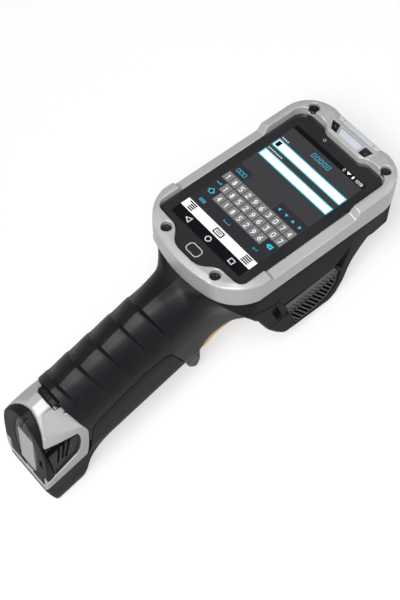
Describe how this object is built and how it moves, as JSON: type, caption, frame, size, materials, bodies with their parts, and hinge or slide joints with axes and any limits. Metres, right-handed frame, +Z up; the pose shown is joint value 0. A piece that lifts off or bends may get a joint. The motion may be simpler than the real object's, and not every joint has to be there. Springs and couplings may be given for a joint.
{
  "type": "portable barcode data terminal",
  "caption": "Hand-held data terminal: touch display head with a scan bulge behind it, on a trigger grip that holds a slide-in battery with side latches.",
  "frame": {"origin": "middle of the bounding box at the table it lies on", "axes": "+X to the display's right, +Y from the grip's foot towards the head, +Z up; the terminal lies face up on its scan bulge and its toe"},
  "size_m": [0.076, 0.2506, 0.0951],
  "materials": {
    "bezel_paint": "satin",
    "cover_glass": "gloss",
    "panel": "gloss",
    "inner_metal": "matt",
    "board": "matt",
    "tinned": "brushed",
    "dark_plastic": "fine grain",
    "grip_plastic": "fine grain, satin",
    "black_plastic": "gloss",
    "smoke_plastic": "translucent",
    "ochre_plastic": "satin",
    "seal": "matt",
    "steel": "bright",
    "copper_film": "satin",
    "gold": "bright",
    "collar_paint": "satin",
    "label_stock": "satin",
    "cap_plastic": "fine grain"
  },
  "bodies": {
    "terminal": {"bezel": "bezel_paint", "touch_glass": "cover_glass", "display_panel": "panel", "inner_chassis": "inner_metal", "main_board": "board", "board_shields": "tinned", "power_switch": "black_plastic", "led_bar": "smoke_plastic", "sensor_window": "black_plastic", "top_strip": "smoke_plastic", "housing_seal": "seal", "bezel_screws": "steel", "grip_shell": "grip_plastic", "grip_front_cover": "grip_plastic", "base_collar": "collar_paint", "lanyard_bar": "grip_plastic", "lanyard_pin": "steel", "trigger_pin": "steel", "trigger_spring": "steel", "trigger_switch": "black_plastic", "trigger_board": "board", "rear_housing": "dark_plastic", "side_grille_right": "dark_plastic", "speaker_right": "black_plastic", "side_grille_left": "dark_plastic", "speaker_left": "black_plastic", "scan_window": "cover_glass", "scan_engine": "black_plastic", "antenna": "copper_film", "contact_block": "black_plastic", "contact_pins": "gold", "power_ribbon": "copper_film"},
    "trigger": {"trigger": "ochre_plastic"},
    "power_button": {"power_button": "black_plastic"},
    "battery": {"battery_pack": "black_plastic", "battery_end_cap": "cap_plastic", "battery_label": "label_stock"},
    "latch_right": {"battery_latch_right": "grip_plastic"},
    "latch_left": {"battery_latch_left": "grip_plastic"}
  },
  "joints": [
    {"name": "trigger_pull", "type": "hinge", "parent": "terminal", "child": "trigger", "pos_m": [0, 0.00989, 0.034], "axis": [-1, 0, 0], "range_deg": [0, 8], "stiffness_Nm_per_rad": 0.8, "springref_deg": -8.59},
    {"name": "power_press", "type": "slide", "parent": "terminal", "child": "power_button", "axis": [0, -0.3024, -0.9532], "range_m": [0, 0.0006], "stiffness_N_per_m": 900, "springref_m": -0.0004},
    {"name": "battery_slide", "type": "slide", "parent": "terminal", "child": "battery", "axis": [0, -1, 0], "range_m": [0, 0.1]},
    {"name": "latch_right_press", "type": "slide", "parent": "battery", "child": "latch_right", "axis": [-1, 0, 0], "range_m": [0, 0.0015], "stiffness_N_per_m": 700, "springref_m": -0.001},
    {"name": "latch_left_press", "type": "slide", "parent": "battery", "child": "latch_left", "axis": [1, 0, 0], "range_m": [0, 0.0015], "stiffness_N_per_m": 700, "springref_m": -0.001}
  ]
}
